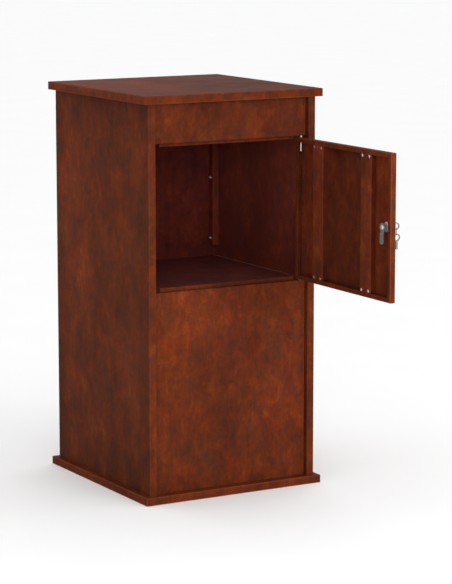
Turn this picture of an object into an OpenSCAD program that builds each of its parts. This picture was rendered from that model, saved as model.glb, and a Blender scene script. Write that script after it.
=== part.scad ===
// Free-standing parcel mailbox in folded weathering-steel sheet: overhanging
// cover and base trays, C-edged side panels, recessed front header and lower
// panel, a hinged parcel door with a cam lock, and its keys.
// Origin: centre of the base's underside. +Z up, front towards -Y.

/* [Cabinet] */
// Width of the cover and of the base
plate_w = 498; // [440:1:600]
// Depth of the cover and of the base
plate_d = 525; // [480:1:640]
// Overall height
total_h = 1000; // [960:1:1200]
// Height of the folded edge of the cover and of the base
plate_lip = 20; // [16:1:30]
// Sheet thickness
sheet = 1.5; // [1:0.1:2]
// Outside radius of a fold
fold_r = 2.2; // [2.1:0.1:3]
// Width of the body across the side panels
body_w = 469; // [420:1:560]
// Front face of the side panels' flanges
body_front = -251.7; // [-252:0.1:-240]
// Rear face of the body
body_rear = 250.5; // [240:0.1:255]
// Width of the flange on the front of each side panel
front_flange = 19.8; // [18:0.1:22]

/* [Front] */
// How far the header, lower panel and closed door lie behind the flanges
recess = 12.7; // [12:0.1:14]
// Width of the header, lower panel and door
front_w = 426; // [400:1:430]
// Height of the sill, the lower edge of the doorway
sill_z = 520; // [480:1:560]
// Height of the upper edge of the doorway
lintel_z = 882; // [840:1:900]
// Depth of the fold round the doorway, outside
stop_depth = 16.9; // [16.5:0.1:18]
// How far the door stop laps behind the door
stop_lap = 8.75; // [7:0.25:10]
// Half width of the door stops
stop_half = 190; // [170:1:190]

/* [Door] */
// Angle the door stands open
door_open = 90; // [0:1:105]
// Bottom of the door
door_z0 = 522; // [521.5:0.1:522.5]
// Top of the door
door_z1 = 878; // [877:0.1:879]
// Depth of the door tray
door_depth = 15; // [14:0.1:15]
// Width of the flange turned in round the tray
door_return = 12; // [10:0.5:13]
// Distance from the door's edge to the hinge line
hinge_edge = 9; // [9:0.1:10]
// Distance from the door's outer face to the hinge line
hinge_set = 5; // [4.5:0.1:5]
// Width of each stiffening channel
strap_w = 47; // [44:1:50]
// Radius of the hinge pins
pin_r = 2.5; // [2:0.1:2.6]

/* [Lock] */
// Distance from the hinge line to the lock's axis
lock_u = 385; // [370:1:388]
// Height of the lock's axis
lock_z = 700; // [600:1:800]
// Length of the cam below the lock's axis
cam_len = 41; // [36:1:44]
// Width of the cam
cam_w = 13.5; // [12:0.5:16]
// Radius of a key's round head
bow_r = 9; // [8.6:0.1:9.4]
// Radius of the hole in a key's head
bow_hole_r = 6.3; // [6.2:0.1:6.5]
// Radius of the key ring
ring_R = 9; // [8.8:0.1:9.6]

/* [Hidden] */
$fn = 48;
e = 0.01;
t = sheet;
front_y = body_front + recess;
hx = front_w / 2 - hinge_edge;
hy = front_y + hinge_set;
bw = body_w / 2;
pw = plate_w / 2;
pd = plate_d / 2;
top_in = total_h - t;
base_in = plate_lip - t;
ret_x = bw - front_flange;
fw = front_w / 2;
door_w = front_w;
yo = -hinge_set;
yi = door_depth - hinge_set;
xa = hinge_edge - door_w;
xb = hinge_edge;
post_w = 18;
post_d = 20;
post_z0 = sill_z + 28;
post_z1 = total_h - 25;
post_stud_z = [566.5, 729, 891.5];
strap_x = [-94.5, -309.3];
strap_rivet_dx = [-13.5, 16.5];
rust = [0.40, 0.19, 0.11];
rust_dark = [0.28, 0.13, 0.08];
zinc = [0.72, 0.73, 0.74];
fix_xy = [[-223, -150], [-223, 150], [223, -150], [223, 150],
          [-120, -229], [120, -229], [-120, 239], [120, 239]];

// ---- folded sheet: a strip of sheet that follows a path with square folds
function unit(v) = v / norm(v);
function fold_side(P, s, rc, n = 5) = [
    let (d = unit(P[1] - P[0])) P[0] + s * t / 2 * [-d[1], d[0]],
    for (i = [1 : 1 : len(P) - 2])
        let (d1 = unit(P[i] - P[i - 1]), d2 = unit(P[i + 1] - P[i]),
             turn = sign(d1[0] * d2[1] - d1[1] * d2[0]),
             c = P[i] - rc * d1 + rc * d2, r = rc - turn * s * t / 2)
        for (k = [0 : n])
            c + r * (sin(90 * k / n) * d1 - cos(90 * k / n) * d2),
    let (m = len(P) - 1, d = unit(P[m] - P[m - 1]))
        P[m] + s * t / 2 * [-d[1], d[0]]
];
function rev(v) = [for (i = [len(v) - 1 : -1 : 0]) v[i]];
module fold2d(P) {
    rc = fold_r - t / 2;
    polygon(concat(fold_side(P, 1, rc), rev(fold_side(P, -1, rc))));
}
// along X: path points are [y, z]
module fold_x(P, x0, x1) {
    translate([x0, 0, 0]) rotate([90, 0, 90]) linear_extrude(x1 - x0) fold2d(P);
}
// along Y: path points are [x, z]
module fold_y(P, y0, y1) {
    translate([0, y1, 0]) rotate([90, 0, 0]) linear_extrude(y1 - y0) fold2d(P);
}
// along Z: path points are [x, y]
module fold_z(P, z0, z1) {
    translate([0, 0, z0]) linear_extrude(z1 - z0) fold2d(P);
}
// rounded rectangle from [a0, b0] to [a1, b1]; rl and rh round the low-b and high-b corners
function corner(c, r, a0, n = 5) =
    r <= 0 ? [c] : [for (k = [0 : n]) c + r * [cos(a0 + 90 * k / n), sin(a0 + 90 * k / n)]];
module round_rect(a0, b0, a1, b1, rl, rh) {
    polygon(concat(corner([a0 + rl, b0 + rl], rl, 180), corner([a1 - rl, b0 + rl], rl, 270),
        corner([a1 - rh, b1 - rh], rh, 0), corner([a0 + rh, b1 - rh], rh, 90)));
}
module box(x0, y0, z0, x1, y1, z1) {
    translate([x0, y0, z0]) cube([x1 - x0, y1 - y0, z1 - z0]);
}
module both_sides() { children(); mirror([1, 0, 0]) children(); }
// a block with its folds rounded, z from z0 to z1
module rounded_plate(z0, z1, rl, rh) {
    intersection() {
        translate([0, pd, 0]) rotate([90, 0, 0]) linear_extrude(plate_d)
            round_rect(-pw, z0, pw, z1, rl, rh);
        translate([-pw, 0, 0]) rotate([90, 0, 90]) linear_extrude(plate_w)
            round_rect(-pd, z0, pd, z1, rl, rh);
    }
}
// welded corner seam: a shallow groove down each corner of a tray's lip
module corner_seams(z0, z1) {
    for (sx = [-1, 1], sy = [-1, 1])
        translate([sx * pw, sy * pd, z0]) rotate([0, 0, 45])
            translate([-0.45, -0.45, 0]) cube([0.9, 0.9, z1 - z0]);
}
// hexagon nut standing on z = 0
module hex_nut(af, h, r) {
    difference() {
        cylinder(r = af / 2 / cos(30), h = h, $fn = 6);
        translate([0, 0, -1]) cylinder(r = r, h = h + 2);
    }
}

// ---- cabinet
module base_plate() color(rust) {
    difference() {
        rounded_plate(0, plate_lip, 1.2, fold_r);
        box(-pw + t, -pd + t, t, pw - t, pd - t, base_in);
        box(-pw + 20, -pd + 20, -1, pw - 20, pd - 20, t + 1);
        corner_seams(t + 1, plate_lip - fold_r);
        for (x = [-190, 190], y = [-200, 200])
            translate([x, y, 10]) cylinder(r = 4.5, h = 15);
        for (p = fix_xy) translate([p[0], p[1], 10]) cylinder(r = 2.7, h = 15);
    }
}
module top_cover() color(rust) {
    z0 = total_h - plate_lip;
    difference() {
        rounded_plate(z0, total_h, 0, fold_r);
        box(-pw + t, -pd + t, z0 - 1, pw - t, pd - t, top_in);
        corner_seams(z0 - 1, total_h - fold_r);
    }
}
module side_panel() {
    difference() {
        union() {
            fold_z([[ret_x + t / 2, hy + 8.5], [ret_x + t / 2, body_front + t / 2],
                [bw - t / 2, body_front + t / 2], [bw - t / 2, body_rear - t / 2],
                [bw - 20, body_rear - t / 2]], plate_lip, top_in);
            box(bw - 21.5, -215, plate_lip, bw - t + e, 225, plate_lip + t);
            box(bw - 21.5, -215, top_in - t, bw - t + e, 225, top_in);
        }
        for (y = [-150, 150]) translate([223, y, 0]) cylinder(r = 2.7, h = total_h);
    }
}
module left_side_panel() color(rust_dark) mirror([1, 0, 0]) side_panel();
module right_side_panel() color(rust_dark) side_panel();
module rear_panel() color(rust_dark) {
    y = body_rear - 1.5 * t;
    difference() {
        fold_x([[231, plate_lip + t / 2], [y, plate_lip + t / 2], [y, top_in - t / 2],
            [231, top_in - t / 2]], -bw + t + 0.8, bw - t - 0.8);
        for (x = [-120, 120]) translate([x, 239, 0]) cylinder(r = 2.7, h = total_h);
    }
}
module front_header() color(rust) {
    yf = front_y + t / 2;
    yb = front_y + stop_depth - t / 2;
    difference() {
        union() {
            fold_x([[-220, top_in - t / 2], [yf, top_in - t / 2], [yf, lintel_z + t / 2],
                [yb, lintel_z + t / 2], [yb, lintel_z - stop_lap]], -stop_half, stop_half);
            fold_x([[-220, top_in - t / 2], [yf, top_in - t / 2], [yf, lintel_z + t / 2],
                [yb - 1.5, lintel_z + t / 2]], -fw, fw);
            both_sides() box(fw - t, front_y + t - e, lintel_z + t - e, fw, front_y + 14, top_in - 20);
        }
        translate([hx, hy, lintel_z - 2]) cylinder(r = pin_r + 0.08, h = 10);
        for (x = [-120, 120]) translate([x, -229, total_h - 10]) cylinder(r = 2.7, h = 12);
    }
}
module front_lower_panel() color(rust) {
    yf = front_y + t / 2;
    yb = front_y + stop_depth - t / 2;
    difference() {
        union() {
            fold_x([[-220, plate_lip + t / 2], [yf, plate_lip + t / 2], [yf, sill_z - t / 2],
                [yb, sill_z - t / 2], [yb, sill_z + stop_lap]], -stop_half, stop_half);
            fold_x([[-220, plate_lip + t / 2], [yf, plate_lip + t / 2], [yf, sill_z - t / 2],
                [yb - 1.5, sill_z - t / 2]], -fw, fw);
            both_sides() box(fw - t, front_y + t - e, plate_lip + 12, fw, front_y + 14, sill_z - t + e);
        }
        translate([hx, hy, sill_z - 8]) cylinder(r = pin_r + 0.08, h = 12);
        for (x = [-120, 120]) translate([x, -229, plate_lip - 5]) cylinder(r = 2.7, h = 12);
    }
}
module compartment_floor() color(rust_dark) {
    z = sill_z - t;
    union() {
        fold_y([[-bw + 1.5 * t, z - 20], [-bw + 1.5 * t, z - t / 2],
            [bw - 1.5 * t, z - t / 2], [bw - 1.5 * t, z - 20]], -224.5, body_rear - 2 * t - 0.3);
        box(-195, front_y + 4, z - t, 195, -224.4, z);
        box(-bw + 8, body_rear - 3 * t - 0.3, z - 20, bw - 8, body_rear - 2 * t - 0.3, z - t / 2);
    }
}
// box-section post in a rear corner, bolted through to the side panel
module rear_post() {
    x = bw - t;
    y = body_rear - 2 * t;
    difference() {
        translate([0, 0, post_z0]) linear_extrude(post_z1 - post_z0) difference() {
            round_rect(x - post_w, y - post_d, x, y, t, t);
            round_rect(x - post_w + t, y - post_d + t, x - t, y - t, 0, 0);
        }
        for (z = post_stud_z) translate([x - post_w - 5, y - post_d / 2, z])
            rotate([0, 90, 0]) cylinder(r = 2.2, h = post_w + 10);
    }
}
module rear_post_left() color(rust_dark) mirror([1, 0, 0]) rear_post();
module rear_post_right() color(rust_dark) rear_post();
module rear_post_studs() color(zinc) both_sides()
    for (z = post_stud_z) translate([bw - t, body_rear - 2 * t - post_d / 2, z]) rotate([0, -90, 0])
        cylinder(r = 2, h = post_w + 3.6);
// domed nut that closes over the stud's end
module cap_nut(af, h, r, bore) difference() {
    union() {
        cylinder(r = af / 2 / cos(30), h = h, $fn = 6);
        translate([0, 0, h]) intersection() {
            sphere(r = af / 2 - 0.1);
            cylinder(r = af, h = af);
        }
    }
    translate([0, 0, -1]) cylinder(r = r, h = bore + 1);
}
module rear_post_nuts() color(zinc) both_sides()
    for (z = post_stud_z) translate([bw - t - post_w, body_rear - 2 * t - post_d / 2, z])
        rotate([0, -90, 0]) cap_nut(7, 2.6, 2, 4.2);
// blind rivet along +Y: domed head, shank, and the bulb it forms
module rivet(grip, head_r, bulb_r) {
    rotate([-90, 0, 0]) {
        intersection() {
            translate([0, 0, grip + 1.3 - head_r * 2.2]) sphere(r = head_r * 2.2);
            translate([0, 0, grip]) cylinder(r = head_r, h = 4);
        }
        translate([0, 0, -1]) cylinder(r = 2, h = grip + 1.2);
        translate([0, 0, -2.2]) cylinder(r1 = bulb_r - 0.7, r2 = bulb_r, h = 0.8);
        translate([0, 0, -1.4]) cylinder(r = bulb_r, h = 1.4);
    }
}
module cover_studs() color(zinc)
    for (p = fix_xy) translate([p[0], p[1], 985]) {
        cylinder(r = 2.5, h = top_in - 985);
        translate([0, 0, -1]) cylinder(r1 = 1.8, r2 = 2.5, h = 1);
    }
module cover_nuts() color(zinc)
    for (p = fix_xy) translate([p[0], p[1], top_in - t - 4]) hex_nut(8, 4, 2.5);
module base_screws() color(zinc)
    for (p = fix_xy) translate([p[0], p[1], base_in]) {
        translate([0, 0, -2.8]) cylinder(r1 = 3.6, r2 = 4.6, h = 1);
        translate([0, 0, -1.8]) cylinder(r = 4.6, h = 1.8);
        cylinder(r = 2.5, h = 9);
    }
module base_nuts() color(zinc)
    for (p = fix_xy) translate([p[0], p[1], plate_lip + t]) hex_nut(8, 4, 2.5);
module hinge_washer() color(zinc)
    translate([hx, hy, sill_z]) difference() {
        cylinder(r = 5, h = door_z0 - sill_z - 0.1);
        translate([0, 0, -1]) cylinder(r = pin_r + 0.1, h = 5);
    }

// ---- door: drawn closed about the hinge line, then swung open
module swung() translate([hx, hy, 0]) rotate([0, 0, door_open]) children();

module door_panel() color(rust) swung() {
    difference() {
        union() {
            difference() {
                intersection() {
                    translate([0, 0, door_z0]) linear_extrude(door_z1 - door_z0)
                        round_rect(xa, yo, xb, yi, fold_r, fold_r);
                    translate([xa, 0, 0]) rotate([90, 0, 90]) linear_extrude(door_w)
                        round_rect(yo, door_z0, yi, door_z1, fold_r, fold_r);
                }
                box(xa + t, yo + t, door_z0 + t, xb - t, yi - t, door_z1 - t);
                box(xa + door_return, yi - t - 1, door_z0 + door_return,
                    xb - door_return, yi + 1, door_z1 - door_return);
            }
            // ears behind the ends of the stiffening channels
            for (x = strap_x) {
                box(x - 21, yi - 2 * t, door_z1 - 25, x + 21, yi - t, door_z1 - t + e);
                box(x - 21, yi - 2 * t, door_z0 + t - e, x + 21, yi - t, door_z0 + 25);
            }
        }
        translate([0, 0, door_z0 - 5]) cylinder(r = pin_r, h = 12);
        translate([0, 0, door_z1 - 7]) cylinder(r = pin_r, h = 12);
        for (x = strap_x, dx = strap_rivet_dx, z = [door_z0 + 16.5, door_z1 - 16.5])
            translate([x + dx, yi - 5, z]) rotate([-90, 0, 0]) cylinder(r = 2.05, h = 10);
        translate([-lock_u, yo - 5, lock_z]) rotate([-90, 0, 0]) intersection() {
            cylinder(r = 9.5, h = 10);
            translate([-8.3, -12, 0]) cube([16.6, 24, 10]);
        }
    }
}
// channel whose legs stand on the door's skin
module strap(x) {
    z0 = door_z0 + door_return + 0.4;
    z1 = door_z1 - door_return - 0.4;
    k = strap_w / 2 - t / 2;
    difference() {
        fold_z([[x - k, yo + t], [x - k, yi - t / 2], [x + k, yi - t / 2], [x + k, yo + t]], z0, z1);
        for (dx = strap_rivet_dx, z = [door_z0 + 16.5, door_z1 - 16.5])
            translate([x + dx, yi - 5, z]) rotate([-90, 0, 0]) cylinder(r = 2.05, h = 10);
    }
}
module door_strap_hinge_side() color(rust) swung() strap(strap_x[0]);
module door_strap_lock_side() color(rust) swung() strap(strap_x[1]);
module door_strap_rivets() color(zinc) swung()
    for (x = strap_x, dx = strap_rivet_dx, z = [door_z0 + 16.5, door_z1 - 16.5])
        translate([x + dx, yi - 2 * t, z]) rivet(2 * t, 4, 3);
module upper_hinge_pin() color(zinc) swung() {
    translate([0, 0, door_z1 - 33]) cylinder(r = pin_r, h = 50);
    translate([0, 0, door_z1 - 35.5]) cylinder(r1 = 1.5, r2 = pin_r, h = 2.5);
    translate([0, 0, door_z1 + 17]) cylinder(r1 = pin_r, r2 = 1.5, h = 1);
}
module lower_hinge_pin() color(zinc) swung() {
    translate([0, 0, sill_z - 13]) cylinder(r = pin_r, h = 23);
    translate([0, 0, sill_z - 14.5]) cylinder(r1 = 1.5, r2 = pin_r, h = 1.5);
}
module sleeve(h) difference() {
    cylinder(r = 3.4, h = h);
    translate([0, 0, -1]) cylinder(r = pin_r, h = h + 2);
}
module hinge_sleeves() color(zinc) swung() {
    translate([0, 0, door_z1 - t - 9.8]) sleeve(9.8);
    translate([0, 0, door_z0 + t]) sleeve(7);
}

// ---- lock: drawn about its own axis, which runs along +Y into the door
module at_lock() swung() translate([-lock_u, 0, lock_z]) children();
module disc_y(r, y0, y1) translate([0, y0, 0]) rotate([-90, 0, 0]) cylinder(r = r, h = y1 - y0);
module cone_y(r0, r1, y0, y1) translate([0, y0, 0]) rotate([-90, 0, 0])
    cylinder(r1 = r0, r2 = r1, h = y1 - y0);

module lock_body() color(zinc) at_lock() difference() {
    union() {
        cone_y(10.6, 11.6, yo - 3, yo - 2);
        disc_y(11.6, yo - 2, yo);
        intersection() {
            disc_y(9.4, yo, yi - 0.5);
            translate([-8.2, yo - 1, -12]) cube([16.4, 30, 24]);
        }
    }
    disc_y(6.08, yo - 5, yi + 3);
    disc_y(7.6, yo - 5, yo - 1.6);
}
module lock_nut() color(zinc) at_lock()
    translate([0, yo + t, 0]) rotate([-90, 0, 0]) difference() {
        rotate([0, 0, 30]) intersection() {
            cylinder(r = 12.7, h = 5, $fn = 6);
            union() {
                cylinder(r = 12.3, h = 4.2);
                translate([0, 0, 4.2]) cylinder(r1 = 12.3, r2 = 11.3, h = 0.8);
            }
        }
        intersection() {
            translate([0, 0, -1]) cylinder(r = 9.4, h = 7);
            translate([-8.2, -12, -1]) cube([16.4, 24, 7]);
        }
    }
wafer_y = [-6.0, -3.4, -0.8, 1.4];
module lock_plug() color(zinc) at_lock() difference() {
    union() {
        disc_y(7.2, yo - 3.4, yo - 1.9);
        disc_y(6, yo - 2, yi + 0.8);
        translate([-3.5, yi + 0.7, -3.5]) cube([7, 1.9, 7]);
    }
    translate([-1.15, yo - 5, -3.3]) cube([2.3, 8.2 + 5, 6.6]);
    for (y = wafer_y) translate([-3.6, y - 0.45, -7]) cube([7.2, 0.9, 14]);
    disc_y(2, 5, yi + 6);
}
module lock_wafers() color([0.75, 0.62, 0.3]) at_lock()
    for (y = wafer_y) difference() {
        translate([-3.5, y - 0.4, -4.7]) cube([7, 0.8, 9.4]);
        translate([-1.25, y - 1, -3.5]) cube([2.5, 2, 7]);
    }
// flat cam whose arm is cranked away from the door
cam_step = 2;
module lock_cam() color(zinc) at_lock()
    translate([0, yi + 0.8, 0]) difference() {
        union() {
            disc_y(10.6, 0, 2);
            intersection() {
                rotate([90, 0, 90]) translate([0, 0, -cam_w / 2]) linear_extrude(cam_w) polygon([
                    [0, 0], [0, -12.6], [cam_step, -15.6], [cam_step, -cam_len - 1],
                    [cam_step + 2, -cam_len - 1], [cam_step + 2, -14.8], [2, -11.8], [2, 0]]);
                union() {
                    translate([-cam_w / 2, -1, -cam_len + 8]) cube([cam_w, 8, cam_len - 8]);
                    translate([0, 0, -cam_len + 8]) disc_y(8, -1, 7);
                }
            }
        }
        translate([-3.6, -1, -3.6]) cube([7.2, 4, 7.2]);
    }
module cam_screw() color(zinc) at_lock() {
    disc_y(2, 5.2, yi + 3);
    difference() {
        union() {
            disc_y(5.6, yi + 2.8, yi + 4.2);
            cone_y(5.6, 4.2, yi + 4.2, yi + 5.4);
        }
        for (a = [0, 90]) rotate([0, a, 0]) translate([-3, yi + 4.2, -0.55]) cube([6, 4, 1.1]);
    }
}
// key with its head's centre at 0 and its blade along +Y, flat in the YZ plane
module key_shape() {
    difference() {
        union() {
            rotate([0, 90, 0]) translate([0, 0, -1]) cylinder(r = bow_r, h = 2);
            rotate([90, 0, 90]) translate([0, 0, -1]) linear_extrude(2) polygon([
                [6.3, -5.6], [10.4, -3], [17.5, -3], [17.5, -2.95], [19.2, -2.95], [20.2, -2.1], [21.2, -2.95],
                [22.4, -2.95], [23.2, -2.3], [24, -2.95], [25, -2.95], [26, -1.9], [27, -2.6],
                [28.2, -2.2], [29.5, -0.8], [29.5, 0.8], [28.2, 2.95], [17.5, 2.95], [17.5, 3],
                [10.4, 3], [6.3, 5.6]]);
        }
        rotate([0, 90, 0]) translate([0, 0, -3]) cylinder(r = bow_hole_r, h = 6);
        // milled groove along the blade
        translate([0.55, 12.5, -0.5]) cube([1, 15, 1]);
    }
}
bow_y = -26.9;
cross_y = bow_y - 1;
cross_z = -4;
module key() color(zinc) at_lock() translate([0, bow_y, 0]) key_shape();
module key_ring() color(zinc) at_lock()
    translate([0, cross_y, cross_z - ring_R]) rotate([0, 0, 55]) rotate([0, 90, 0])
        rotate_extrude($fn = 64) translate([ring_R, 0]) union() {
            translate([0, 0.34]) circle(r = 0.46, $fn = 20);
            translate([0, -0.34]) circle(r = 0.46, $fn = 20);
            translate([-0.3, -0.3]) square([0.6, 0.6]);
        }
module spare_key() color(zinc) at_lock()
    translate([0, cross_y - 1, cross_z - 2 * ring_R - 4.9]) rotate([-90, 0, 0]) key_shape();

base_plate();
top_cover();
left_side_panel();
right_side_panel();
rear_panel();
front_header();
front_lower_panel();
compartment_floor();
rear_post_left();
rear_post_right();
rear_post_studs();
rear_post_nuts();
cover_studs();
cover_nuts();
base_screws();
base_nuts();
hinge_washer();
door_panel();
door_strap_hinge_side();
door_strap_lock_side();
door_strap_rivets();
upper_hinge_pin();
lower_hinge_pin();
hinge_sleeves();
lock_body();
lock_nut();
lock_plug();
lock_wafers();
lock_cam();
cam_screw();
key();
key_ring();
spare_key();
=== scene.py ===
import math
import random

import bpy
import bmesh
from mathutils import Matrix, Vector


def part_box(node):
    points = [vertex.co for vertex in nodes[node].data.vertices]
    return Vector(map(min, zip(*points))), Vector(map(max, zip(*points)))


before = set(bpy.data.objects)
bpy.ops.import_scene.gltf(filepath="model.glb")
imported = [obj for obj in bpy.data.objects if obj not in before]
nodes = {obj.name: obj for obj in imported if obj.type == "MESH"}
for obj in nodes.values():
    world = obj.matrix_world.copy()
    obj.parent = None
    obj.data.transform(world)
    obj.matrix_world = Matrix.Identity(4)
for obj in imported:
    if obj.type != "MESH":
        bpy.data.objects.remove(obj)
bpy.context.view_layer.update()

scene = bpy.context.scene
rng = random.Random(552)


def lin(r, g, b):
    """sRGB 0-255 to linear."""
    out = []
    for v in (r, g, b):
        v /= 255.0
        out.append(v / 12.92 if v <= 0.04045 else ((v + 0.055) / 1.055) ** 2.4)
    return (*out, 1.0)


# ------------------------------------------------------------------ camera
cam_data = bpy.data.cameras.new("camera")
cam = bpy.data.objects.new("camera", cam_data)
scene.collection.objects.link(cam)
cam.location = (-2.9687, -5.3602, 1.4976)
cam.rotation_euler = (math.radians(90 - 9.504), 0, math.radians(-29.986))
cam_data.sensor_width = 36
cam_data.lens = 150.352
cam_data.clip_start, cam_data.clip_end = 0.05, 400
scene.camera = cam


# ------------------------------------------------------------------ node helpers
class Net:
    """Short calls for building a node tree."""

    def __init__(self, tree):
        self.t = tree
        self.x = 0

    def add(self, kind, **kw):
        n = self.t.nodes.new(kind)
        self.x += 30
        n.location = (self.x, -(self.x % 400))
        for k, v in kw.items():
            setattr(n, k, v)
        return n

    def link(self, a, b):
        self.t.links.new(a, b)

    def feed(self, sock, v):
        if isinstance(v, bpy.types.NodeSocket):
            self.link(v, sock)
        elif v is not None:
            sock.default_value = v

    def math(self, op, a, b=None, c=None, clamp=False):
        n = self.add("ShaderNodeMath", operation=op, use_clamp=clamp)
        for s, v in zip(n.inputs, (a, b, c)):
            self.feed(s, v)
        return n.outputs[0]

    def vmath(self, op, a, b=None):
        n = self.add("ShaderNodeVectorMath", operation=op)
        self.feed(n.inputs[0], a)
        self.feed(n.inputs[1], b)
        return n.outputs[0]

    def scale(self, v, xyz):
        return self.vmath("MULTIPLY", v, xyz)

    def noise(self, v, scale, detail=3.0, rough=0.55, dist=0.0, lac=2.0):
        n = self.add("ShaderNodeTexNoise")
        self.feed(n.inputs["Vector"], v)
        n.inputs["Scale"].default_value = scale
        n.inputs["Detail"].default_value = detail
        n.inputs["Roughness"].default_value = rough
        n.inputs["Lacunarity"].default_value = lac
        n.inputs["Distortion"].default_value = dist
        return n.outputs["Fac"]

    def voronoi(self, v, scale, feature="F1"):
        n = self.add("ShaderNodeTexVoronoi", feature=feature)
        self.feed(n.inputs["Vector"], v)
        n.inputs["Scale"].default_value = scale
        return n

    def remap(self, v, a, b, c=0.0, d=1.0, smooth=False):
        n = self.add("ShaderNodeMapRange", clamp=True)
        if smooth:
            n.interpolation_type = "SMOOTHSTEP"
        self.feed(n.inputs["Value"], v)
        for i, k in enumerate(("From Min", "From Max", "To Min", "To Max")):
            n.inputs[k].default_value = (a, b, c, d)[i]
        return n.outputs["Result"]

    def ramp(self, v, stops):
        n = self.add("ShaderNodeValToRGB")
        el = n.color_ramp.elements
        while len(el) > 1:
            el.remove(el[-1])
        el[0].position, el[0].color = stops[0]
        for p, c in stops[1:]:
            e = el.new(p)
            e.color = c
        self.feed(n.inputs[0], v)
        return n.outputs[0]

    def mix(self, f, a, b, mode="MIX"):
        n = self.add("ShaderNodeMix", data_type="RGBA", blend_type=mode)
        self.feed(n.inputs[0], f)
        self.feed(n.inputs[6], a)
        self.feed(n.inputs[7], b)
        return n.outputs[2]

    def bump(self, height, strength, distance, normal=None):
        n = self.add("ShaderNodeBump")
        n.inputs["Strength"].default_value = strength
        n.inputs["Distance"].default_value = distance
        self.feed(n.inputs["Height"], height)
        if normal is not None:
            self.link(normal, n.inputs["Normal"])
        return n.outputs[0]


def new_material(name):
    m = bpy.data.materials.new(name)
    m.use_nodes = True
    m.node_tree.nodes.clear()
    n = Net(m.node_tree)
    out = n.add("ShaderNodeOutputMaterial")
    bsdf = n.add("ShaderNodeBsdfPrincipled")
    n.link(bsdf.outputs[0], out.inputs[0])
    return m, n, bsdf


def edge_distance(n, pos, lo, hi):
    """Distance in metres to the nearest edge of a box-like piece: the middle one of the three distances to its box's sides."""
    sep = n.add("ShaderNodeSeparateXYZ")
    n.link(pos, sep.inputs[0])
    d = []
    for i in range(3):
        a = n.math("ABSOLUTE", n.math("SUBTRACT", sep.outputs[i], lo[i]))
        b = n.math("ABSOLUTE", n.math("SUBTRACT", hi[i], sep.outputs[i]))
        d.append(n.math("MINIMUM", a, b))
    mx = n.math("MAXIMUM", d[0], d[1])
    mn = n.math("MINIMUM", d[0], d[1])
    return n.math("MAXIMUM", mn, n.math("MINIMUM", mx, d[2]))


# ------------------------------------------------------------------ rust patina
def box_mask(n, pos, lo, hi):
    """1 inside the box from lo to hi, 0 outside."""
    sep = n.add("ShaderNodeSeparateXYZ")
    n.link(pos, sep.inputs[0])
    m = None
    for i in range(3):
        g = n.math("GREATER_THAN", sep.outputs[i], lo[i])
        h = n.math("LESS_THAN", sep.outputs[i], hi[i])
        k = n.math("MULTIPLY", g, h)
        m = k if m is None else n.math("MULTIPLY", m, k)
    return m


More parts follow.
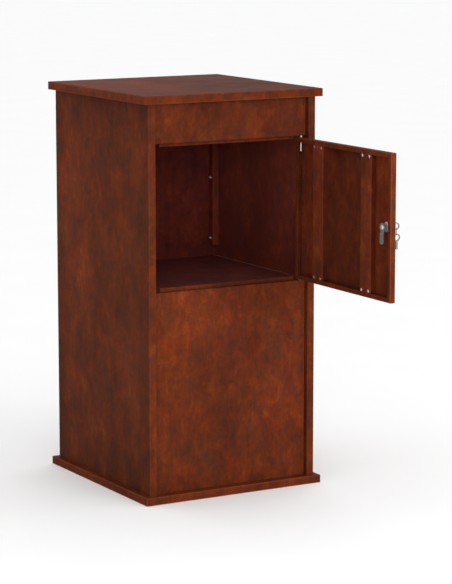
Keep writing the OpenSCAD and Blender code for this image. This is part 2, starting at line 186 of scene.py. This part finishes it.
def rust(node, tone=1.0, tint=(1, 1, 1), streak=1.0, edge=1.0, zones=(), soft=(), calm=None):
    """Even weathering-steel patina: cloudy patches, dark flecks, fine vertical streaks.
    zones: (lo, hi, (r, g, b)) boxes where the colour is multiplied by (r, g, b): a different
    patina shade in some, painted light or shade in others.
    soft: (centre, radii, factor, box) rounded areas that fade into a lighter or darker
    colour, within the box if one is given: patina in some, painted light or shade in others.
    calm: (lo, hi, share) box where the patina is evener."""
    lo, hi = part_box(node)
    m, n, bsdf = new_material("rust_" + node)
    pos = n.add("ShaderNodeTexCoord").outputs["Object"]
    off = Vector([rng.uniform(-20, 20) for _ in range(3)])
    p = n.vmath("ADD", pos, tuple(off))
    # slow drift that bends every finer pattern
    warp = n.add("ShaderNodeTexNoise")
    n.link(p, warp.inputs["Vector"])
    warp.inputs["Scale"].default_value = 9
    warp.inputs["Detail"].default_value = 2
    wv = n.vmath("SUBTRACT", warp.outputs["Color"], (0.5, 0.5, 0.5))
    wv = n.scale(wv, (0.035, 0.035, 0.05))
    pw = n.vmath("ADD", p, wv)

    broad = n.noise(n.scale(pw, (1, 1, 0.7)), 4.2, 2, 0.5, 0.3)
    cloud = n.noise(n.scale(pw, (1, 1, 0.76)), 13, 4, 0.6, 0.25)
    patch = n.noise(n.scale(pw, (1, 1, 0.72)), 40, 4, 0.62, 0.5)
    fleck = n.noise(n.scale(pw, (1, 1, 0.8)), 120, 4, 0.62, 0.4)
    run = n.noise(n.scale(pw, (1, 1, 0.07)), 260, 3, 0.6)
    run2 = n.noise(n.scale(pw, (1, 1, 0.05)), 95, 3, 0.5)
    hue = n.noise(n.scale(pw, (1, 1, 0.5)), 21, 5, 0.66, 0.3)
    hue2 = n.noise(n.scale(p, (1, 1, 0.25)), 110, 3, 0.6)
    grain = n.noise(p, 900, 3, 0.6)
    speck = n.noise(p, 2100, 3, 0.65)
    pits = n.voronoi(n.vmath("ADD", p, n.scale(wv, (0.2, 0.2, 0.2))), 430).outputs["Distance"]

    # mottling value, centred on 0.5
    parts = [(cloud, 0.30), (patch, 0.27), (fleck, 0.17),
             (run, 0.10 * streak), (run2, 0.07 * streak), (grain, 0.07), (speck, 0.08)]
    v = 0.0
    for sock, w in parts:
        v = n.math("MULTIPLY_ADD", sock, w, v)
    mean = 0.5 * sum(w for _, w in parts)
    v = n.math("MULTIPLY_ADD", n.math("SUBTRACT", v, mean), 2.5, 0.5, clamp=True)

    def c(r, g, b):
        k = lin(r, g, b)
        return (k[0] * tone * tint[0], k[1] * tone * tint[1], k[2] * tone * tint[2], 1)

    col = n.ramp(v, [
        (0.04, c(49, 30, 26)),
        (0.28, c(70, 35, 23)),
        (0.48, c(88, 38, 20)),
        (0.66, c(104, 44, 19)),
        (0.96, c(134, 62, 26)),
    ])
    # slow change of tone, and of hue between olive and violet brown
    k = n.math("MULTIPLY_ADD", n.math("SUBTRACT", broad, 0.5), 1.15, 1.0)
    h1 = n.math("MULTIPLY_ADD", n.math("SUBTRACT", hue, 0.5), 0.75, 1.0)
    h2 = n.math("MULTIPLY_ADD", n.math("SUBTRACT", hue2, 0.5), 1.3, 1.0)
    gain = n.add("ShaderNodeCombineXYZ")
    n.link(k, gain.inputs[0])
    n.link(n.math("MULTIPLY", k, h1), gain.inputs[1])
    n.link(n.math("MULTIPLY", k, n.math("MULTIPLY", h2, h1)), gain.inputs[2])
    col = n.mix(1.0, col, gain.outputs[0], "MULTIPLY")
    if calm:
        w = n.math("MULTIPLY", box_mask(n, pos, calm[0], calm[1]), calm[2])
        col = n.mix(w, col, c(88, 38, 20))
    # soft areas: patina, and painted light or shade, as the RUST table gives
    for centre, radii, f, *only in soft:
        d = n.vmath("SUBTRACT", pos, centre)
        d = n.scale(d, tuple(1.0 / r for r in radii))
        ln = n.add("ShaderNodeVectorMath", operation="LENGTH")
        n.link(d, ln.inputs[0])
        w = n.math("MULTIPLY_ADD", n.math("SUBTRACT", cloud, 0.5), 0.8, ln.outputs["Value"])
        g = n.remap(w, 0.0, 1.0, f, 1.0, smooth=True)
        if only:
            g = n.math("MULTIPLY_ADD", n.math("SUBTRACT", g, 1.0), box_mask(n, pos, *only[0]), 1.0)
        gg = n.add("ShaderNodeCombineXYZ")
        for i in range(3):
            n.link(g, gg.inputs[i])
        col = n.mix(1.0, col, gg.outputs[0], "MULTIPLY")
    # pinhead pits, thicker where the oxide is old
    pm = n.remap(pits, 0.10, 0.34, 1.0, 0.0, smooth=True)
    pm = n.math("MULTIPLY", pm, n.remap(patch, 0.42, 0.66, 0.42, 0.05))
    col = n.mix(pm, col, c(44, 27, 24))
    # blue-brown spots where the oxide is dense
    spot = n.noise(n.scale(pw, (1, 1, 0.7)), 60, 5, 0.7, 0.8)
    sm = n.remap(spot, 0.60, 0.74, 0.0, 0.40, smooth=True)
    col = n.mix(sm, col, c(52, 32, 30))
    # edges rubbed to a brighter orange, with a broken border
    ed = edge_distance(n, pos, lo, hi)
    wob = n.remap(n.noise(p, 160, 3, 0.6), 0.3, 0.7, 0.0010, 0.0050)
    em = n.math("SUBTRACT", 1.0, n.math("DIVIDE", ed, wob), clamp=True)
    em = n.math("MULTIPLY", em, 0.5 * edge)
    col = n.mix(em, col, c(146, 66, 28))
    # zones: patina shades, and painted light or shade, as the RUST table gives
    for zlo, zhi, k in zones:
        col = n.mix(box_mask(n, pos, zlo, zhi), col, n.mix(1.0, col, (*k, 1), "MULTIPLY"))
    n.link(col, bsdf.inputs["Base Color"])

    r = n.math("MULTIPLY_ADD", patch, 0.22, 0.42)
    r = n.math("MULTIPLY_ADD", grain, 0.12, r)
    n.link(r, bsdf.inputs["Roughness"])
    bsdf.inputs["Metallic"].default_value = 0.0
    bsdf.inputs["Specular IOR Level"].default_value = 0.025

    h = n.math("MULTIPLY_ADD", n.noise(p, 420, 4, 0.65), 0.55, n.math("MULTIPLY", grain, 0.25))
    h = n.math("MULTIPLY_ADD", fleck, 0.7, h)
    h = n.math("MULTIPLY_ADD", pm, -0.6, h)
    b1 = n.bump(h, 0.35, 0.0005)
    wavy = n.noise(p, 5.5, 2, 0.5)
    b2 = n.bump(wavy, 0.25, 0.004, b1)
    n.link(b2, bsdf.inputs["Normal"])
    return m


def metal(name, base, dark, rough, scale=300.0, wear=0.25, brushed=None, bump=0.12):
    """Plated metal: faint blotches, hairline scratches and a breath of grime."""
    m, n, bsdf = new_material(name)
    pos = n.add("ShaderNodeTexCoord").outputs["Object"]
    if brushed:
        fine = n.noise(n.scale(pos, brushed), 1500, 3, 0.6)
    else:
        fine = n.noise(pos, 1500, 3, 0.6)
    blot = n.noise(pos, scale, 4, 0.6, 0.4)
    f = n.remap(blot, 0.35, 0.72, 0.0, wear)
    f = n.math("MULTIPLY_ADD", fine, 0.12, f, clamp=True)
    n.link(n.mix(f, base, dark), bsdf.inputs["Base Color"])
    r = n.math("MULTIPLY_ADD", blot, 0.18, rough - 0.09)
    r = n.math("MULTIPLY_ADD", fine, 0.10, r)
    n.link(r, bsdf.inputs["Roughness"])
    bsdf.inputs["Metallic"].default_value = 1.0
    n.link(n.bump(fine, bump, 0.0001), bsdf.inputs["Normal"])
    return m


zinc = metal("zinc_plate", lin(238, 240, 243), lin(176, 177, 178), 0.36, 240, 0.30)
satin = metal("hardware_plate", lin(236, 237, 240), lin(176, 176, 178), 0.52, 220, 0.30)
cam_plate = metal("cam_plate", lin(160, 164, 163), lin(112, 116, 115), 0.46, 220, 0.30)
chrome = metal("lock_plating", lin(236, 236, 238), lin(180, 180, 182), 0.42, 200, 0.25, bump=0.05)
brass = metal("wafer_brass", lin(206, 172, 98), lin(140, 108, 56), 0.35, 200, 0.4)
nickel = metal("key_plating", lin(146, 145, 143), lin(74, 73, 71), 0.32, 220, 0.45, brushed=(0.12, 1, 1))

# the parcel compartment's inner faces: an evener patina where calm is given, and painted light in the boxes
# below, which brighten the back, side walls and posts and tint them violet, standing in for the light that
# reaches inside
ROOM = ((-0.2336, -0.2225, 0.5), (0.2336, 0.2482, 0.98))
BACK_PAINTED_LIGHT = (*ROOM, (0.98, 0.86, 1.85))
WALL_PAINTED_LIGHT = (*ROOM, (1.5, 1.5, 2.9))
POST_PAINTED_LIGHT = (*ROOM, (1.38, 1.3, 2.3))
RUST = {
    "base_plate": {},
    "top_cover": dict(edge=0.6, soft=[((-0.20, 0.10, 1.0), (0.30, 0.40, 0.02), 1.28),
                            ((0.12, -0.12, 1.0), (0.30, 0.30, 0.02), 0.78)]),
    "left_side_panel": dict(tint=(1, 1, 0.86), edge=0.25, zones=[
        # painted light on the inner face of the compartment wall
        WALL_PAINTED_LIGHT, ((-0.2346, -0.2525, 0.0), (-0.2140, -0.2505, 1.0), (1.12, 1.12, 1.30))], soft=[
        # painted shade: the left side darker towards its top, under the cover's overhang
        ((-0.2345, 0.0, 1.0), (0.02, 0.4, 0.18), 0.66),
        ((-0.2345, -0.08, 0.02), (0.02, 0.5, 0.30), 0.78),
        ((-0.2345, 0.25, 0.5), (0.02, 0.10, 2.0), 0.86),
        ((-0.2345, -0.252, 0.5), (0.01, 0.10, 3.0), 0.84, ((-0.24, -0.2495, 0.0), (-0.2335, 0.0, 1.0)))]),
    "right_side_panel": dict(edge=0.4, calm=(*ROOM, 0.24), zones=[
        # painted light on the inner face of the compartment wall, lighter still towards its back in the soft
        # area
        WALL_PAINTED_LIGHT, ((0.2140, -0.2525, 0.0), (0.2346, -0.2505, 1.0), (1.03, 1.12, 1.22))], soft=[((0.2335, 0.26, 0.70), (0.02, 0.36, 0.5), 1.42, ROOM)]),
    # painted light on the rear panel's inner face, inside the compartment
    "rear_panel": dict(zones=[BACK_PAINTED_LIGHT]), "front_header": dict(tone=0.96, tint=(1, 1.02, 1.12)),
    "front_lower_panel": dict(soft=[((-0.14, -0.239, 0.38), (0.20, 0.3, 0.24), 1.30),
                                    # painted shadow of the open door on the lower panel, below the doorway's
                                    # right end
                                    ((0.09, -0.239, 0.50), (0.15, 0.3, 0.08), 0.80),
                                    ((0.17, -0.239, 0.25), (0.10, 0.3, 0.20), 1.12)]),
    "compartment_floor": dict(calm=((-0.2336, -0.2225, 0.5), (0.2336, 0.2482, 0.53), 0.26), zones=[
        # painted light and sheen: the compartment floor brightened and tinted violet, the back part more
        # than the front
        ((-0.2336, -0.08, 0.5), (0.2336, 0.2482, 0.53), (1.42, 1.8, 4.6)),
        ((-0.2336, -0.2225, 0.5), (0.2336, -0.08, 0.53), (1.32, 1.8, 4.4)),
        # painted highlights along the floor's folds at its sides and back
        ((-0.2334, -0.2225, 0.512), (-0.2262, 0.2482, 0.53), (3.0, 4.8, 3.8)),
        ((0.2262, -0.2225, 0.512), (0.2334, 0.2482, 0.53), (3.0, 4.8, 3.8)),
        ((-0.2290, 0.2448, 0.512), (0.2290, 0.2482, 0.53), (2.1, 2.5, 2.3))]),
    # painted light on the rear posts inside the compartment
    "rear_post_left": dict(zones=[POST_PAINTED_LIGHT], edge=0.4), "rear_post_right": dict(zones=[POST_PAINTED_LIGHT], edge=0.4),
    # painted shade: the middle of the door's inner skin darkened, as shade in the shallow tray
    "door_panel": dict(zones=[((0.2060, -0.543, 0.530), (0.2083, -0.328, 0.870), (0.84, 0.83, 0.95)),
                              ((0.2060, -0.328, 0.530), (0.2083, -0.236, 0.870), (1.10, 1.05, 1.15)),
                              ((0.1900, -0.652, 0.500), (0.2095, -0.6488, 0.900), (1.15, 1.3, 1.45)),
                              ((0.2060, -0.6488, 0.530), (0.2083, -0.5680, 0.870), (1.15, 0.98, 0.94))],
                       soft=[((0.2075, -0.40, 0.868), (0.01, 0.08, 0.055), 0.62,
                              ((0.2060, -0.543, 0.530), (0.2083, -0.328, 0.870)))]),
    # painted light: the strap is lightened (tone) against the shaded door skin
    "door_strap_hinge_side": dict(tone=1.15, tint=(1, 1, 1.3), edge=0.2, soft=[
        ((0.194, -0.33, 0.87), (0.05, 0.10, 0.16), 1.35)], zones=[
        # painted shade on the strap's edge at its free-door side
        ((0.19, -0.3525, 0.5), (0.2075, -0.3513, 0.9), (0.62, 0.60, 0.60))]),
    # painted light: the strap is lightened (tone) against the shaded door skin
    "door_strap_lock_side": dict(tone=1.2, tint=(1, 1, 1.2), edge=0.2, zones=[
        # painted shade on the strap's edge at its free-door side
        ((0.19, -0.5673, 0.5), (0.2075, -0.5661, 0.9), (0.60, 0.56, 0.60))]),
}
METAL = {
    "rear_post_studs": zinc, "rear_post_nuts": zinc, "cover_studs": zinc, "cover_nuts": zinc,
    "base_screws": zinc, "base_nuts": zinc, "hinge_washer": zinc, "door_strap_rivets": zinc,
    "upper_hinge_pin": zinc, "lower_hinge_pin": zinc, "hinge_sleeves": zinc, "lock_body": chrome,
    "lock_nut": satin, "lock_plug": chrome, "lock_wafers": brass, "lock_cam": cam_plate,
    "cam_screw": zinc, "key": nickel, "key_ring": nickel, "spare_key": nickel,
}
for name, o in nodes.items():
    m = rust(name, **RUST[name]) if name in RUST else METAL[name]
    o.data.materials.clear()
    o.data.materials.append(m)

# ------------------------------------------------------------------ floor and light
bpy.ops.mesh.primitive_plane_add(size=160, location=(0, 0, 0))
floor = bpy.context.object
floor.name = "floor"
m, n, bsdf = new_material("floor_pale")
pos = n.add("ShaderNodeTexCoord").outputs["Object"]
f = n.noise(pos, 3.0, 3, 0.5)
n.link(n.ramp(f, [(0.3, (0.955, 0.955, 0.955, 1)), (0.7, (0.97, 0.97, 0.97, 1))]), bsdf.inputs["Base Color"])
bsdf.inputs["Roughness"].default_value = 0.9
bsdf.inputs["Specular IOR Level"].default_value = 0.1
floor.data.materials.append(m)

world = bpy.data.worlds.new("studio")
scene.world = world
world.use_nodes = True
world.node_tree.nodes.clear()
n = Net(world.node_tree)
out = n.add("ShaderNodeOutputWorld")
bg = n.add("ShaderNodeBackground")
n.link(bg.outputs[0], out.inputs[0])
sep = n.add("ShaderNodeSeparateXYZ")
n.link(n.add("ShaderNodeTexCoord").outputs["Generated"], sep.inputs[0])
up = n.remap(sep.outputs[0], -1.0, -0.15, 0.78, 1.04, smooth=True)
n.link(up, bg.inputs["Strength"])
bg.inputs["Color"].default_value = (1, 1, 1, 1)


def area(name, loc, target, size, power, colour=(1, 1, 1)):
    d = bpy.data.lights.new(name, "AREA")
    d.shape = "RECTANGLE"
    d.size, d.size_y = size
    d.energy = power
    d.color = colour
    o = bpy.data.objects.new(name, d)
    scene.collection.objects.link(o)
    o.location = loc
    o.rotation_euler = (Vector(target) - Vector(loc)).to_track_quat("-Z", "Y").to_euler()
    return o


area("key", (0.9, -5.0, 1.7), (0, -0.1, 0.6), (3.2, 2.2), 66)
area("fill", (-2.9, -5.3, 2.1), (0.05, -0.1, 0.6), (1.8, 1.4), 55)

scene.view_settings.view_transform = "Standard"
scene.view_settings.look = "None"
scene.view_settings.exposure = 0.0
scene.view_settings.gamma = 1.0
